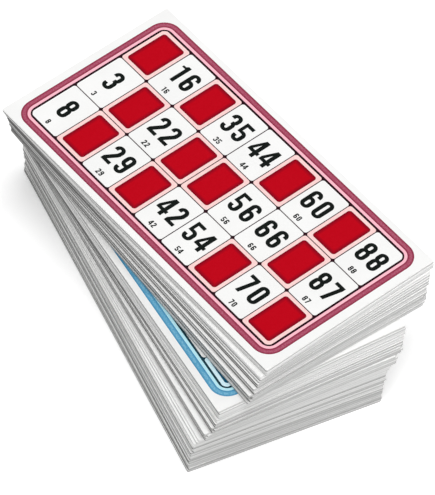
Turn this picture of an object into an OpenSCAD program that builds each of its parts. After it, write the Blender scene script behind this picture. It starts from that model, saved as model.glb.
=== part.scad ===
// A stack of printed bingo cards, set down as two packs that lie askew on each other.
// The origin is the middle of the bottom card's underside. X runs along the bottom card's
// long side, Y along its short side, and Z is up. Cards are numbered from the top down.

/* [Card] */
// Length of a card
card_l = 210; // [190:1:260]
// Width of a card
card_w = 106; // [98:1:140]
// Thickness of a card's board
card_t = 1.6; // [0.8:0.1:3]
// Radius of a card's corners
corner_r = 0.8; // [0.3:0.1:4]
// Air left between a card and the one above it
air_gap = 0.1; // [0.09:0.01:0.4]

/* [Print] */
// Bare board between the grid and the card's short sides
end_margin = 10.5; // [8:0.1:14]
// Bare board between the grid and the card's long sides
side_margin = 9.35; // [7.5:0.05:12]
// Thickness of the ink
ink_t = 0.05; // [0.03:0.01:0.07]
// Width of the dark outline round the grid
outline_w = 0.95; // [0.4:0.05:1.2]
// Width of the pale band outside the outline
halo_w = 1.55; // [0.8:0.05:2.2]
// Width of the coloured border band
band_w = 3.3; // [1:0.1:4]
// Radius of the outline's inner corners
outline_r = 3.8; // [1.5:0.1:6]
// Width of the lines between the cells
line_w = 0.5; // [0.2:0.05:0.8]
// Radius of a cell's corners
cell_r = 1.5; // [0.3:0.1:2.5]
// Pale rim left round each colour block
block_rim = 2.2; // [0.8:0.1:4]
// Radius of a colour block's corners
block_r = 1.7; // [0.3:0.1:3]

/* [Numbers] */
// Height of a large digit
digit_h = 12.7; // [11:0.1:14]
// Width of a large digit
digit_w = 6.3; // [5:0.1:6.8]
// Stroke of a large digit
digit_stroke = 2.35; // [1:0.05:2.4]
// Space between two large digits
digit_gap = 2.3; // [1.2:0.1:3]
// Height of a small digit
small_h = 3.3; // [3:0.1:4]
// Width of a small digit
small_w = 1.8; // [1.6:0.1:2]
// Stroke of a small digit
small_stroke = 0.7; // [0.3:0.05:0.75]
// Space between two small digits
small_gap = 0.5; // [0.3:0.1:1.2]

/* [Packs] */
// Turn of the upper pack's top card from the bottom card, in degrees
twist_angle = 14.8; // [0:0.1:25]
// Slip that the cards' shifts from the bottom card are shares of
slip = 6; // [0:0.5:12]
// Play by which single cards stray from the even spread
stray = 0.2; // [0:0.05:1.5]

/* [Hidden] */
$fn = 48;
red_n = 16;
blue_n = 32;
card_n = red_n + blue_n;
columns = 9;
rows = 3;
pitch = card_t + air_gap;
grid_l = card_l - 2 * end_margin;
grid_w = card_w - 2 * side_margin;
cell_l = grid_l / columns;
cell_w = grid_w / rows;

// Height of the middles of the two rows of digits over the cell's lower edge, as shares of it
digit_at_share = 0.56;
small_at_share = 0.13;

// Stations down the stack, with the cards between two stations evenly spread: card, turn as a
// share of twist_angle, and shift along and across as shares of slip
STATION_SHARES = [
    [1, 1.00, 0.55, 1.30],
    [2, 1.00, 0.55, 1.35],
    [3, 0.98, 0.50, 1.45],
    [4, 0.91, 0.50, 1.25],
    [8, 0.85, 0.55, 1.30],
    [9, 0.80, 0.55, 1.25],
    [11, 0.80, 0.55, 1.30],
    [12, 0.75, 0.50, 1.15],
    [13, 0.77, 0.45, 1.30],
    [14, 0.77, 0.45, 1.35],
    [16, 0.73, 0.40, 1.25],
    [17, 0.36, 0.60, 0.50],
    [18, 0.37, 0.60, 0.60],
    [24, 0.30, 0.65, 0.55],
    [25, 0.24, 0.60, 0.55],
    [26, 0.27, 0.65, 0.65],
    [27, 0.24, 0.60, 0.60],
    [28, 0.16, 0.55, 0.40],
    [29, 0.18, 0.55, 0.50],
    [31, 0.16, 0.50, 0.45],
    [32, 0.09, 0.35, 0.35],
    [35, 0.05, 0.20, 0.15],
    [37, 0.04, 0.15, 0.10],
    [38, 0.05, 0.15, 0.20],
    [39, 0.02, 0.10, 0.10],
    [41, 0.02, 0.05, 0.10],
    [42, 0.00, 0.05, 0.10],
    [48, 0.00, 0.00, 0.00]
];

// Numbers on the two printed cards, row by row, with 0 for a colour block
RED_NUMBERS = [
    [0, 16, 0, 35, 44, 0, 60, 0, 88],
    [3, 0, 22, 0, 0, 56, 66, 0, 87],
    [8, 0, 29, 0, 42, 54, 0, 70, 0]
];
BLUE_NUMBERS = [
    [0, 11, 0, 31, 0, 50, 62, 0, 81],
    [4, 0, 23, 0, 47, 0, 68, 75, 0],
    [9, 18, 0, 37, 49, 0, 0, 79, 0]
];

// Shares of a digit's width, height or stroke that shape the digits
DIGIT_WIDTH_SHARES = [1, 0.74, 1, 1, 1.16, 1, 1, 0.98, 1, 1];
round_share = 0.46;
bar_share = 0.84;
waist_share = 0.53;
bowl_share = 0.6;
cut_low_share = 0.28;
cut_high_share = 0.72;
bend_share = 0.62;
knee_share = 0.2;
over_share = 0.1;
five_stem_share = 0.45;
five_top_share = 0.95;
four_stem_share = 1.5;
four_bar_share = 0.2;
seven_foot_share = 0.2;
flag_low_share = 0.8;
flag_high_share = 0.9;

function two_digits(i) = str(i < 10 ? "0" : "", i);
function red_name(i) = str("red_card_", two_digits(i));
function blue_name(i) = str("blue_card_", two_digits(i));

INKS = ["border", "halo", "grid", "blocks", "numbers"];

// What card i has in a column of STATION_SHARES, where k is the first station that may lie above it
function share_of(i, column, k = 0) =
    i > STATION_SHARES[k + 1][0]
        ? share_of(i, column, k + 1)
        : lookup(i, [for (row = [STATION_SHARES[k], STATION_SHARES[k + 1]]) [row[0], row[column]]]);

// Card i's turn, its shift from the bottom card and the height of its underside. The top and
// bottom cards don't stray, and the others do by a rule that repeats nowhere in the stack
stray_angle = 137;
stray_along_share = 0.5;
function strays(i, k) = i == 1 || i == card_n ? 0 : stray * sin(stray_angle * i * (i + k));
function turn_of(i) = twist_angle * share_of(i, 1) + atan(strays(i, 3) / (card_l / 2));
function shift_of(i) = [
    slip * share_of(i, 2) + strays(i, 1) * stray_along_share,
    slip * share_of(i, 3) + strays(i, 2),
    pitch * (card_n - i)
];

module on_card(i) {
    translate(shift_of(i)) rotate(turn_of(i)) children();
}

module rounded(l, w, r) {
    square([l - 2 * r, w], center = true);
    square([l, w - 2 * r], center = true);
    for (x = [-1, 1], y = [-1, 1]) {
        translate([x * (l / 2 - r), y * (w / 2 - r)]) circle(r);
    }
}

module card(i) {
    color("white") on_card(i) linear_extrude(card_t) rounded(card_l, card_w, corner_r);
}

// Ink of the 2D shape, laid on card i
module ink(i) {
    on_card(i) translate([0, 0, card_t]) linear_extrude(ink_t) children();
}

// Outline of the grid, grown by out
module grid_outline(out) {
    rounded(grid_l + 2 * out, grid_w + 2 * out, outline_r + out);
}

module border() {
    difference() {
        grid_outline(outline_w + halo_w + band_w);
        grid_outline(outline_w + halo_w);
    }
}

// Children at the middle of each cell whose number is a block, or is not
module at_cells(numbers, blocks) {
    for (r = [0:rows - 1], c = [0:columns - 1]) {
        if ((numbers[r][c] == 0) == blocks) {
            translate([
                (c - (columns - 1) / 2) * cell_l,
                ((rows - 1) / 2 - r) * cell_w
            ]) children();
        }
    }
}

module cell() {
    rounded(cell_l - line_w, cell_w - line_w, cell_r);
}

module block() {
    rounded(cell_l - 2 * block_rim, cell_w - 2 * block_rim, block_r);
}

module blocks(numbers) {
    at_cells(numbers, true) block();
}

module grid_lines(numbers) {
    difference() {
        grid_outline(outline_w);
        intersection() {
            grid_outline(0);
            union() {
                at_cells(numbers, true) cell();
                at_cells(numbers, false) cell();
            }
        }
    }
}

module halo(numbers) {
    difference() {
        grid_outline(outline_w + halo_w);
        grid_outline(outline_w);
    }
    intersection() {
        grid_outline(0);
        at_cells(numbers, true) difference() {
            cell();
            block();
        }
    }
}

// Upright loop of a digit, from y0 to y1 over the digit's width
module loop(w, y0, y1, s) {
    h = y1 - y0;
    hole_w = w - 2 * s;
    hole_h = h - 2 * s * bar_share;
    translate([w / 2, y0 + h / 2]) difference() {
        rounded(w, h, min(w, h) * round_share);
        rounded(hole_w, hole_h, min(hole_w, hole_h) * round_share);
    }
}

module eight(h, w, s) {
    bar = s * bar_share;
    waist = h * waist_share;
    loop(w, 0, waist + bar / 2, s);
    loop(w, waist - bar / 2, h, s);
}

module six(h, w, s) {
    loop(w, 0, h * bowl_share, s);
    intersection() {
        loop(w, 0, h, s);
        union() {
            translate([-w * over_share, h * cut_low_share]) square([w / 2 + w * over_share, h]);
            translate([-w * over_share, h * cut_high_share]) square([w + 2 * w * over_share, h]);
        }
    }
}

module three(h, w, s) {
    difference() {
        eight(h, w, s);
        translate([-w * over_share, h * cut_low_share])
            square([s + 2 * w * over_share, h * (cut_high_share - cut_low_share)]);
    }
}

module five(h, w, s) {
    bar = s * bar_share;
    difference() {
        loop(w, 0, h * bowl_share, s);
        translate([-w * over_share, h * cut_low_share])
            square([s + 2 * w * over_share, h * (five_stem_share - cut_low_share)]);
    }
    translate([0, h * five_stem_share]) square([s * bar_share, h * (1 - five_stem_share)]);
    translate([0, h - bar]) square([w * five_top_share, bar]);
}

module two(h, w, s) {
    bar = s * bar_share;
    bend = h * bend_share;
    knee = w - s * knee_share;
    intersection() {
        loop(w, h * (1 - bowl_share), h, s);
        union() {
            translate([-w * over_share, h * cut_high_share]) square([w + 2 * w * over_share, h]);
            translate([w / 2, bend]) square([w, h]);
        }
    }
    polygon([
        [w - s, bend + h * over_share],
        [w - s * (1 + over_share), bend],
        [0, bar * (1 + over_share)],
        [0, bar * (1 - over_share)],
        [s * (1 + over_share), bar * (1 - over_share)],
        [knee, bend - h * over_share],
        [w, bend],
        [w, bend + h * over_share]
    ]);
    square([w, bar]);
}

module four(h, w, s) {
    bar = s * bar_share;
    wide = w * DIGIT_WIDTH_SHARES[4];
    stem_x = wide - s * four_stem_share;
    bar_y = h * four_bar_share;
    difference() {
        polygon([
            [0, bar_y],
            [wide, bar_y],
            [wide, bar_y + bar],
            [stem_x + s, bar_y + bar],
            [stem_x + s, h],
            [stem_x - s * over_share, h],
            [0, bar_y + bar * (1 + over_share)]
        ]);
        polygon([
            [s * bar_share, bar_y + bar],
            [stem_x, bar_y + bar],
            [stem_x, h * cut_high_share]
        ]);
    }
    translate([stem_x, 0]) square([s, bar_y + bar]);
}

module seven(h, w, s) {
    bar = s * bar_share;
    wide = w * DIGIT_WIDTH_SHARES[7];
    polygon([
        [0, h],
        [wide, h],
        [wide, h - bar],
        [wide * seven_foot_share + s, 0],
        [wide * seven_foot_share, 0],
        [wide - s, h - bar],
        [0, h - bar]
    ]);
}

module one(h, w, s) {
    wide = w * DIGIT_WIDTH_SHARES[1];
    polygon([
        [wide - s, 0],
        [wide, 0],
        [wide, h],
        [wide - s * bar_share, h],
        [wide - s - w * over_share, h * flag_high_share],
        [0, h * flag_high_share],
        [0, h * flag_low_share],
        [wide - s, h * flag_low_share]
    ]);
}

// Digit d, standing on the X axis with its middle over the origin
module digit(d, h, w, s) {
    translate([-w * DIGIT_WIDTH_SHARES[d] / 2, 0]) {
        if (d == 0) loop(w, 0, h, s);
        if (d == 1) one(h, w, s);
        if (d == 2) two(h, w, s);
        if (d == 3) three(h, w, s);
        if (d == 4) four(h, w, s);
        if (d == 5) five(h, w, s);
        if (d == 6) six(h, w, s);
        if (d == 7) seven(h, w, s);
        if (d == 8) eight(h, w, s);
        if (d == 9) translate([w, h]) rotate(180) six(h, w, s);
    }
}

// Number n with its middle at the origin and its digits evenly spaced
module number(n, h, w, s, gap) {
    side = n < 10 ? 0 : (w + gap) / 2;
    translate([side, -h / 2]) digit(n % 10, h, w, s);
    if (n >= 10) translate([-side, -h / 2]) digit(floor(n / 10), h, w, s);
}

module numbers(table) {
    for (r = [0:rows - 1], c = [0:columns - 1]) {
        if (table[r][c] > 0) {
            translate([(c - columns / 2 + 1 / 2) * cell_l, (rows / 2 - 1 - r) * cell_w]) {
                translate([0, cell_w * digit_at_share])
                    number(table[r][c], digit_h, digit_w, digit_stroke, digit_gap);
                translate([0, cell_w * small_at_share])
                    number(table[r][c], small_h, small_w, small_stroke, small_gap);
            }
        }
    }
}

module red_border() { color("palevioletred") ink(1) border(); }
module red_halo() { color("pink") ink(1) halo(RED_NUMBERS); }
module red_grid() { color("black") ink(1) grid_lines(RED_NUMBERS); }
module red_blocks() { color("crimson") ink(1) blocks(RED_NUMBERS); }
module red_numbers() { color("black") ink(1) numbers(RED_NUMBERS); }
module blue_border() { color("skyblue") ink(red_n + 1) border(); }
module blue_halo() { color("paleturquoise") ink(red_n + 1) halo(BLUE_NUMBERS); }
module blue_grid() { color("darkslategray") ink(red_n + 1) grid_lines(BLUE_NUMBERS); }
module blue_blocks() { color("teal") ink(red_n + 1) blocks(BLUE_NUMBERS); }
module blue_numbers() { color("darkslategray") ink(red_n + 1) numbers(BLUE_NUMBERS); }

for (i = [1:red_n]) {
    card(i);
}
for (i = [1:blue_n]) {
    card(red_n + i);
}
red_border();
red_halo();
red_grid();
red_blocks();
red_numbers();
blue_border();
blue_halo();
blue_grid();
blue_blocks();
blue_numbers();
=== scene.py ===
import math

import bpy
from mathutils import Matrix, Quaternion, Vector


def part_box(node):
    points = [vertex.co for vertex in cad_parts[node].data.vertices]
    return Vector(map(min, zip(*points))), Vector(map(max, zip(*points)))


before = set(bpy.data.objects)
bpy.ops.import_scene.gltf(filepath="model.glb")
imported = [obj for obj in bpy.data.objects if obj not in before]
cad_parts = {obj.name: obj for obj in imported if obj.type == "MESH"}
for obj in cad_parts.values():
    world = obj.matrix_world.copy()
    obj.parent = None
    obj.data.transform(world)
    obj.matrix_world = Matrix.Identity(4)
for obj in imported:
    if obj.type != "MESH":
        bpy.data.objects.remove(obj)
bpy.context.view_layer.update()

# Sizes that the CAD model has too, in metres
CARD_L = 0.210
CARD_W = 0.106
CORNER_R = 0.0008
PITCH = 0.0017
CARDS = 48
GRID_L = 0.189
GRID_W = 0.0873
GRID_R = 0.0038
COLUMNS = 9
ROWS = 3
BLOCK_RIM = 0.0022

# From the grid's edge out, past the outline and the halo, to the middle of the border band
BAND_MIDDLE = 0.00415

# The photograph's view: the point at the middle of the frame, and where the camera stands
# from it. The azimuth is counted from +X towards +Y
AIM = Vector((0.0108, 0.0055, 0.040))
CAMERA_AZIMUTH = math.radians(-23.92)
CAMERA_ELEVATION = math.radians(52.26)
CAMERA_ROLL = math.radians(-0.27)
CAMERA_DISTANCE = 2.403
LENS_MM = 348.0

# Light, as shares of the level at which a white surface renders white
LAMPS = {
    "key": {"level": 0.58, "azimuth": 0.0, "elevation": 80.0, "spread": 26.0},
    "fill": {"level": 0.21, "azimuth": 50.0, "elevation": 20.0, "spread": 40.0},
    "front": {"level": 0.14, "azimuth": -75.0, "elevation": 15.0, "spread": 60.0},
}
SKY_LEVEL = 0.34
FLOOR_GREY = 0.80
FLOOR_LIFT = 0.38
FLOOR_HALF = 6.0

# Rounding of the cards' cut edges. Faces that meet at less than FLAT_ANGLE degrees are joined
# first, and edges sharper than SHARP_ANGLE degrees are rounded
BEVEL = 0.00018
FLAT_ANGLE = 2
SHARP_ANGLE = 50

# Features in a metre of the noises in the materials
MOTTLE_SCALE = 45
DRIFT_SCALE = 14
FIBRE_SCALE = 3500
CLOUD_SCALE = 70

# Seeds of each card's random numbers, one for its tone and one for its seam
TONE_SEED = 53.0
SEAM_SEED = 7.0

# Keeps a card's underside, which lies exactly on a whole level, with its own card
CARD_NUDGE = 0.02

# Colours of the board, as they are written on a screen
FACE_WHITE = (249, 249, 248)
FACE_MOTTLE = (244, 244, 243)
PALE_PULP = (254, 254, 253)
# The dark end of the pulp, which also serves as painted shade in the cut edges
DARK_PULP_AND_SHADE = (40, 40, 39)
FIBRE_GREY = (150, 149, 147)
LINER_WHITE = (250, 250, 249)
# Painted shade in the gaps between the cards
SEAM_SHADE = (8, 8, 8)
LOW_GREY = (110, 110, 109)

# How dark the pulp in the cut edges is, from 0 to 1: pairs of a level up the stack, in cards, and
# the tone there, which is partly the cards' own tone and partly painted shade, where edges lie in
# shade under overhanging cards.
# Then how far a card strays from its level, and how far its edge drifts
EDGE_TONE_AND_SHADE = (
    (0, 0.60), (7, 0.55), (8, 0.10), (9, 0.10), (10, 0.55), (12, 0.50), (13, 0.25), (17, 0.30),
    (22, 0.45), (26, 0.60), (28, 0.25), (29, 0.05), (32, 0.10), (33, 0.50), (37, 0.70), (42, 0.60),
    (44, 0.30), (48, 0.25),
)
CARD_STRAY = 0.5
DRIFT_STRAY = 0.10
DARKEST_TONE = 0.86
FIBRE_SHARE = 0.18

# Painted shade: the pulp is darker by this factor at the stack's left end, under the overhanging
# upper pack, fading out over a stretch of X
LEFT_SHADE_GAIN = 1.30
LEFT_SHADE_STRETCH = (-0.08, 0.04)

# The short sides, which face the light, show this share of the long sides' dark tones and seams:
# painted shade, as the long sides face away from the light.
# How far a surface faces Y tells them apart, and how far it faces Z tells faces from edges
SHORT_SIDE_SHARE = 0.4
FACING_Y = (0.4, 0.9)
FACING_Z = (0.75, 0.95)

# Heights in a card's edge, as shares of the pitch: the pale liner sets in between these two
LINER_START = (0.78, 0.86)
LINER_SHARE = 0.6

# The seam is painted shade in the gap between cards: darkest up to SEAM_FULL, fading up to
# SEAM_REACH, which grows over a stretch of X, where the gaps open wider.
# Cards whose random number is past STRONG_CARDS have a deeper painted seam shade that reaches
# further up
SEAM_FULL = 0.14
SEAM_REACH = (0.26, 0.42)
SEAM_STRETCH = (-0.10, 0.10)
STRONG_CARDS = (0.60, 0.75)
STRONG_REACH = 0.38
WEAK_DEPTH = 0.45

# The lowest cards are greyer in all, fading out between two levels
LOW_SHARE = 0.24
LOW_LEVELS = (4.0, 18.0)

# Surface of the board and of the ink
EDGE_ROUGHNESS = 0.88
FACE_ROUGHNESS = 0.42
BOARD_SPECULAR = 0.2
BOARD_RELIEF = 0.00004
MOTTLE_RELIEF = 0.1
INK_ROUGHNESS = (0.46, 0.56)
INK_SPECULAR = 0.05
INK_RELIEF = 0.00001

# Which part of the noise the ink's grain is cut from, and how much the clouds vary it
GRAIN_CUT = (0.4, 0.62)
CLOUD_GAIN = (0.6, 1.2)

# From the middle of the border band out: where its dark rims set in, and where they are full
BAND_RIM = (0.0004, 0.0013)

# From the edge of a colour block in: where its dark rim is full, and where it has faded
BLOCK_EDGE = (0.0005, 0.0026)


# Node helpers

class Shader:
    """A node material that is built step by step around its Principled shader."""

    def __init__(self, name):
        self.mat = bpy.data.materials.new(name)
        self.mat.use_nodes = True
        self.tree = self.mat.node_tree
        self.out = self.tree.nodes["Principled BSDF"]
        self.place = self.node("ShaderNodeTexCoord")

    def node(self, kind, **settings):
        made = self.tree.nodes.new(kind)
        for key, value in settings.items():
            setattr(made, key, value)
        return made

    def put(self, socket, value):
        """Links an output to the socket, or sets a plain value on it."""
        if isinstance(value, bpy.types.NodeSocket):
            self.tree.links.new(value, socket)
        else:
            socket.default_value = value

    def math(self, operation, a, b=0.0, c=0.0):
        made = self.node("ShaderNodeMath", operation=operation)
        for socket, value in zip(made.inputs, (a, b, c)):
            self.put(socket, value)
        return made.outputs[0]

    def noise(self, scale, stretch=(1, 1, 1), detail=2.0, roughness=0.5):
        """Noise with that many features in a metre, stretched along the object's axes."""
        mapping = self.node("ShaderNodeMapping")
        self.put(mapping.inputs["Vector"], self.place.outputs["Object"])
        mapping.inputs["Scale"].default_value = [scale * s for s in stretch]
        made = self.node("ShaderNodeTexNoise")
        self.put(made.inputs["Vector"], mapping.outputs[0])
        made.inputs["Scale"].default_value = 1.0
        made.inputs["Detail"].default_value = detail
        made.inputs["Roughness"].default_value = roughness
        return made.outputs["Fac"]

    def spread(self, value, low, high, a=0.3, b=0.7):
        """value from a to b, turned into low to high."""
        made = self.node("ShaderNodeMapRange")
        for socket, v in zip(made.inputs, (value, a, b, low, high)):
            self.put(socket, v)
        return made.outputs[0]

    def mix(self, share, a, b):
        made = self.node("ShaderNodeMix", data_type="RGBA")
        self.put(made.inputs[0], share)
        self.put(made.inputs[6], a)
        self.put(made.inputs[7], b)
        return made.outputs[2]

    def ramp(self, value, stops):
        """A value from 0 to 1, turned into the shares that the stops give."""
        made = self.node("ShaderNodeValToRGB")
        elements = made.color_ramp.elements
        while len(elements) < len(stops):
            elements.new(1.0)
        for element, (place, share) in zip(elements, stops):
            element.position = place
            element.color = grey(share)
        self.put(made.inputs[0], value)
        return made.outputs["Color"]

    def bump(self, height, depth):
        made = self.node("ShaderNodeBump")
        made.inputs["Distance"].default_value = depth
        made.inputs["Strength"].default_value = 1.0
        self.put(made.inputs["Height"], height)
        self.put(self.out.inputs["Normal"], made.outputs[0])

    def split(self, vector):
        made = self.node("ShaderNodeSeparateXYZ")
        self.put(made.inputs[0], vector)
        return made.outputs

    def place_x(self):
        """Where a point lies along the stack's length."""
        return self.split(self.place.outputs["Object"])["X"]

    def tint(self, share, colour):
        """Mixes that share of a colour into the base colour as it is so far."""
        base = self.out.inputs["Base Color"]
        self.put(base, self.mix(share, base.links[0].from_socket, colour))

    def card_level(self):
        """The height in pitches: the whole part tells the card, the rest the place in its edge."""
        return self.math("DIVIDE", self.split(self.place.outputs["Object"])["Z"], PITCH)

    def per_card(self, seed):
        """A random number that is the same all over one card, and another for each seed."""
        card = self.math("FLOOR", self.math("ADD", self.card_level(), CARD_NUDGE))
        made = self.node("ShaderNodeTexWhiteNoise", noise_dimensions="1D")
        self.put(made.inputs["W"], self.math("ADD", card, seed))
        return made.outputs["Value"]

    def from_grid_middle(self, card):
        """The distances from the middle of the card's grid, along it and across it."""
        middle, turn = card_place(card)
        mapping = self.node("ShaderNodeMapping", vector_type="TEXTURE")
        self.put(mapping.inputs["Vector"], self.place.outputs["Object"])
        mapping.inputs["Location"].default_value = middle
        mapping.inputs["Rotation"].default_value = (0, 0, turn)
        local = self.split(mapping.outputs[0])
        return [self.math("ABSOLUTE", local[axis]) for axis in ("X", "Y")]


def card_place(name):
    """The middle of a card, and its turn from the X axis, which lies between 0 and 90 degrees."""
    low, high = (Vector(corner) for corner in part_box(name))
    length, width = CARD_L - 2 * CORNER_R, CARD_W - 2 * CORNER_R
    x, y = (high - low).xy - Vector((2 * CORNER_R, 2 * CORNER_R))
    return (low + high) / 2, math.atan2(length * y - width * x, length * x - width * y)


def linear(r, g, b):
    """A colour as it is written on a screen, from 0 to 255, in linear light."""
    def one(v):
        v /= 255
        return v / 12.92 if v <= 0.04045 else ((v + 0.055) / 1.055) ** 2.4
    return (one(r), one(g), one(b), 1.0)


def grey(level):
    return (level, level, level, 1.0)


# Materials

def pulp_tone_and_shade(s, long_side_shade):
    """How dark the pulp is: its level's tone and painted shade, each card's own stray, a slow
    drift, and painted shade at the left end and on the long sides.
    """
    stops = [(level / CARDS, tone) for level, tone in EDGE_TONE_AND_SHADE]
    # Each level's tone, partly painted shade of edges under overhanging cards
    tone = s.ramp(s.math("DIVIDE", s.card_level(), CARDS), stops)
    stray = s.spread(s.per_card(TONE_SEED), -CARD_STRAY, CARD_STRAY, 0.1, 0.9)
    drift = s.noise(DRIFT_SCALE, stretch=(1, 1, 500), detail=4, roughness=0.6)
    tone = s.math("ADD", tone, stray)
    tone = s.math("ADD", tone, s.spread(drift, -DRIFT_STRAY, DRIFT_STRAY))
    # Painted shade at the stack's left end, under the overhanging upper pack
    tone = s.math("MULTIPLY", tone, s.spread(s.place_x(), LEFT_SHADE_GAIN, 1.0, *LEFT_SHADE_STRETCH))
    tone = s.spread(tone, 0.0, DARKEST_TONE, 0.0, DARKEST_TONE)
    return s.math("MULTIPLY", tone, long_side_shade)


def seam_shade_depth(s, height, long_side_shade):
    """How dark the seam, painted shade of the gap between cards, is at a height in a card's edge.
    """
    strong = s.spread(s.per_card(SEAM_SEED), 0.0, 1.0, *STRONG_CARDS)
    reach = s.spread(s.place_x(), *SEAM_REACH, *SEAM_STRETCH)
    reach = s.math("MULTIPLY_ADD", strong, STRONG_REACH, reach)
    depth = s.math("MULTIPLY", s.spread(strong, WEAK_DEPTH, 1.0, 0.0, 1.0), long_side_shade)
    return s.math("MULTIPLY", s.spread(height, 1.0, 0.0, SEAM_FULL, reach), depth)


def board():
    """Coated white board: smooth faces, and cut edges that show the liners and the pulp between,
    with painted shade in the seams and on the long sides.
    """
    s = Shader("white_board")
    mottle = s.noise(MOTTLE_SCALE, detail=3)
    fibres = s.noise(FIBRE_SCALE, stretch=(1, 1, 2), detail=2)
    facing = s.split(s.place.outputs["Normal"])
    # Painted shade: the long sides, away from the light, darker than the short sides
    long_side_shade = s.spread(s.math("ABSOLUTE", facing["Y"]), SHORT_SIDE_SHARE, 1.0, *FACING_Y)
    is_face = s.spread(s.math("ABSOLUTE", facing["Z"]), 0.0, 1.0, *FACING_Z)
    face = s.mix(s.spread(mottle, 0.0, 1.0), linear(*FACE_WHITE), linear(*FACE_MOTTLE))

    # From the pulp up: fibres, the liner at the top of each edge, and the seam at its bottom,
    # painted shade of the gap between cards
    edge = s.mix(pulp_tone_and_shade(s, long_side_shade), linear(*PALE_PULP), linear(*DARK_PULP_AND_SHADE))
    edge = s.mix(s.spread(fibres, 0.0, FIBRE_SHARE), edge, linear(*FIBRE_GREY))
    height = s.math("FRACT", s.math("ADD", s.card_level(), CARD_NUDGE))
    edge = s.mix(s.spread(height, 0.0, LINER_SHARE, *LINER_START), edge, linear(*LINER_WHITE))
    edge = s.mix(seam_shade_depth(s, height, long_side_shade), edge, linear(*SEAM_SHADE))
    edge = s.mix(s.spread(s.card_level(), LOW_SHARE, 0.0, *LOW_LEVELS), edge, linear(*LOW_GREY))

    s.put(s.out.inputs["Base Color"], s.mix(is_face, edge, face))
    s.put(s.out.inputs["Roughness"], s.spread(is_face, EDGE_ROUGHNESS, FACE_ROUGHNESS, 0.0, 1.0))
    s.out.inputs["Specular IOR Level"].default_value = BOARD_SPECULAR
    rough_cut = s.math("MULTIPLY", s.math("SUBTRACT", 1.0, is_face), fibres)
    s.bump(s.math("MULTIPLY_ADD", mottle, MOTTLE_RELIEF, rough_cut), BOARD_RELIEF)
    return s.mat


def ink(name, colour, pale, share, grain=900.0):
    """Printed ink: the colour, broken by fine grain of a paler one, and clouds of both."""
    s = Shader(name)
    fine = s.noise(grain, detail=2)
    clouds = s.noise(CLOUD_SCALE, detail=2)
    broken = s.spread(fine, 0.0, share, *GRAIN_CUT)
    broken = s.math("MULTIPLY", broken, s.spread(clouds, *CLOUD_GAIN))
    s.put(s.out.inputs["Base Color"], s.mix(broken, colour, pale))
    s.put(s.out.inputs["Roughness"], s.spread(clouds, *INK_ROUGHNESS))
    s.out.inputs["Specular IOR Level"].default_value = INK_SPECULAR
    s.bump(fine, INK_RELIEF)
    return s


def ringed(s, card, ring):
    """Gives the pale ink its stronger colour in the ring that runs outside the grid."""
    along, across = s.from_grid_middle(card)
    past_x = s.math("SUBTRACT", along, GRID_L / 2)
    past_y = s.math("SUBTRACT", across, GRID_W / 2)
    s.tint(s.math("GREATER_THAN", s.math("MAXIMUM", past_x, past_y), 0.0), ring)
    return s


def banded(s, card, rim):
    """Darkens both rims of the border band, which follows the grid's rounded corners."""
    along, across = s.from_grid_middle(card)
    past_x = s.math("SUBTRACT", along, GRID_L / 2 - GRID_R)
    past_y = s.math("SUBTRACT", across, GRID_W / 2 - GRID_R)
    corner = [s.math("POWER", s.math("MAXIMUM", past, 0.0), 2.0) for past in (past_x, past_y)]
    out = s.math("SQRT", s.math("ADD", *corner))
    out = s.math("ADD", out, s.math("MINIMUM", s.math("MAXIMUM", past_x, past_y), 0.0))
    from_middle = s.math("ABSOLUTE", s.math("SUBTRACT", out, GRID_R + BAND_MIDDLE))
    s.tint(s.spread(from_middle, 0.0, 1.0, *BAND_RIM), rim)
    return s


def rimmed(s, card, rim):
    """Darkens the colour blocks towards their edges, where the ink lies thickest."""
    along, across = s.from_grid_middle(card)
    gaps = []
    for place, length, count in ((along, GRID_L, COLUMNS), (across, GRID_W, ROWS)):
        cell = length / count
        within = s.math("MODULO", s.math("ADD", place, cell / 2), cell)
        from_middle = s.math("ABSOLUTE", s.math("SUBTRACT", within, cell / 2))
        gaps.append(s.math("SUBTRACT", cell / 2 - BLOCK_RIM, from_middle))
    s.tint(s.spread(s.math("MINIMUM", *gaps), 1.0, 0.0, *BLOCK_EDGE), rim)
    return s


RED, BLUE = "red_card_01", "blue_card_01"

RED_BORDER = ink("red_border_ink", linear(166, 70, 96), linear(184, 110, 130), 0.7, grain=1300)
RED_HALO = ink("red_halo_ink", linear(250, 210, 208), linear(254, 226, 222), 0.6)
RED_BLOCKS = ink("red_block_ink", linear(188, 0, 22), linear(194, 4, 28), 0.4)
BLUE_BORDER = ink("blue_border_ink", linear(94, 166, 202), linear(144, 198, 222), 0.7, grain=1300)
BLUE_HALO = ink("blue_halo_ink", linear(208, 240, 250), linear(228, 246, 252), 0.6)
BLUE_BLOCKS = ink("blue_block_ink", linear(20, 116, 152), linear(48, 134, 168), 0.4)

INKS = {
    "red_border": banded(RED_BORDER, RED, linear(140, 44, 70)),
    "red_halo": ringed(RED_HALO, RED, linear(252, 190, 204)),
    "red_grid": ink("red_grid_ink", linear(30, 4, 14), linear(70, 30, 42), 0.3),
    "red_blocks": rimmed(RED_BLOCKS, RED, linear(132, 2, 26)),
    "red_numbers": ink("red_number_ink", linear(8, 14, 12), linear(28, 36, 32), 0.3),
    "blue_border": banded(BLUE_BORDER, BLUE, linear(76, 148, 188)),
    "blue_halo": ringed(BLUE_HALO, BLUE, linear(188, 236, 248)),
    "blue_grid": ink("blue_grid_ink", linear(14, 50, 62), linear(50, 92, 104), 0.3),
    "blue_blocks": rimmed(BLUE_BLOCKS, BLUE, linear(14, 82, 110)),
    "blue_numbers": ink("blue_number_ink", linear(8, 18, 26), linear(28, 42, 50), 0.3),
}
BOARD = board()


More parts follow.
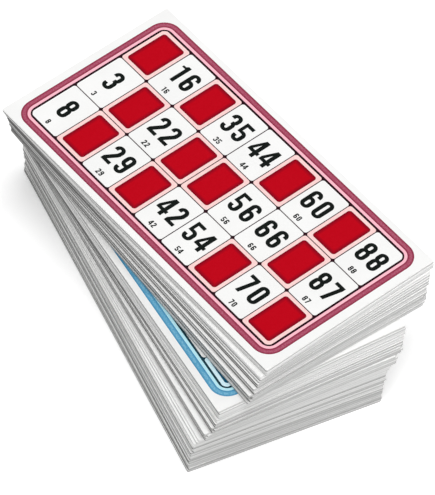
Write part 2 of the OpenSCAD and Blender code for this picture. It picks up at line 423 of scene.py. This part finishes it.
def dress_nodes():
    """Gives every CAD node its material, and each card's edges a fine rounding."""
    for name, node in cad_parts.items():
        node.data.materials.clear()
        node.data.materials.append(INKS[name].mat if name in INKS else BOARD)
        if name not in INKS:
            weld = node.modifiers.new("weld", "WELD")
            weld.merge_threshold = BEVEL / 20
            flat = node.modifiers.new("flat", "DECIMATE")
            flat.decimate_type = "DISSOLVE"
            flat.angle_limit = math.radians(FLAT_ANGLE)
            soft = node.modifiers.new("soft", "BEVEL")
            soft.width = BEVEL
            soft.segments = 2
            soft.limit_method = "ANGLE"
            soft.angle_limit = math.radians(SHARP_ANGLE)
            soft.use_clamp_overlap = False


dress_nodes()


# Stage, light and camera

def direction(azimuth, elevation):
    flat = math.cos(elevation)
    return Vector((flat * math.cos(azimuth), flat * math.sin(azimuth), math.sin(elevation)))


def add_floor():
    corners = [(x * FLOOR_HALF, y * FLOOR_HALF, 0) for x, y in ((-1, -1), (1, -1), (1, 1), (-1, 1))]
    mesh = bpy.data.meshes.new("floor")
    mesh.from_pydata(corners, [], [(0, 1, 2, 3)])
    floor = bpy.data.objects.new("floor", mesh)
    bpy.context.scene.collection.objects.link(floor)
    s = Shader("floor_white")
    s.out.inputs["Base Color"].default_value = grey(FLOOR_GREY)
    s.out.inputs["Roughness"].default_value = 0.9
    s.out.inputs["Specular IOR Level"].default_value = 0.0
    s.out.inputs["Emission Color"].default_value = grey(1.0)
    path = s.node("ShaderNodeLightPath")
    seen = s.math("MAXIMUM", path.outputs["Is Camera Ray"], path.outputs["Is Glossy Ray"])
    seen = s.math("MAXIMUM", seen, path.outputs["Is Transmission Ray"])
    s.put(s.out.inputs["Emission Strength"], s.math("MULTIPLY", seen, FLOOR_LIFT))
    mesh.materials.append(s.mat)


def add_light():
    for name, plan in LAMPS.items():
        lamp = bpy.data.lights.new(name, "SUN")
        lamp.energy = plan["level"] * math.pi
        lamp.angle = math.radians(plan["spread"])
        holder = bpy.data.objects.new(name, lamp)
        towards = direction(math.radians(plan["azimuth"]), math.radians(plan["elevation"]))
        holder.rotation_euler = towards.to_track_quat("Z", "Y").to_euler()
        bpy.context.scene.collection.objects.link(holder)

    world = bpy.data.worlds.new("studio")
    world.use_nodes = True
    tree = world.node_tree
    sky = tree.nodes["Background"]
    sky.inputs["Color"].default_value = grey(1.0)
    path = tree.nodes.new("ShaderNodeLightPath")
    seen = path.outputs["Is Camera Ray"]
    for kind in ("Is Glossy Ray", "Is Transmission Ray"):
        most = tree.nodes.new("ShaderNodeMath")
        most.operation = "MAXIMUM"
        tree.links.new(seen, most.inputs[0])
        tree.links.new(path.outputs[kind], most.inputs[1])
        seen = most.outputs[0]
    level = tree.nodes.new("ShaderNodeMapRange")
    tree.links.new(seen, level.inputs["Value"])
    level.inputs["To Min"].default_value = SKY_LEVEL
    level.inputs["To Max"].default_value = 1.0
    tree.links.new(level.outputs[0], sky.inputs["Strength"])
    bpy.context.scene.world = world


def add_camera():
    data = bpy.data.cameras.new("photo_view")
    data.lens = LENS_MM
    data.clip_end = 4 * FLOOR_HALF
    camera = bpy.data.objects.new("photo_view", data)
    back = direction(CAMERA_AZIMUTH, CAMERA_ELEVATION)
    camera.location = AIM + back * CAMERA_DISTANCE
    camera.rotation_mode = "QUATERNION"
    camera.rotation_quaternion = back.to_track_quat("Z", "Y") @ Quaternion((0, 0, 1), CAMERA_ROLL)
    bpy.context.scene.collection.objects.link(camera)
    bpy.context.scene.camera = camera


add_floor()
add_light()
add_camera()
bpy.context.scene.view_settings.view_transform = "Standard"
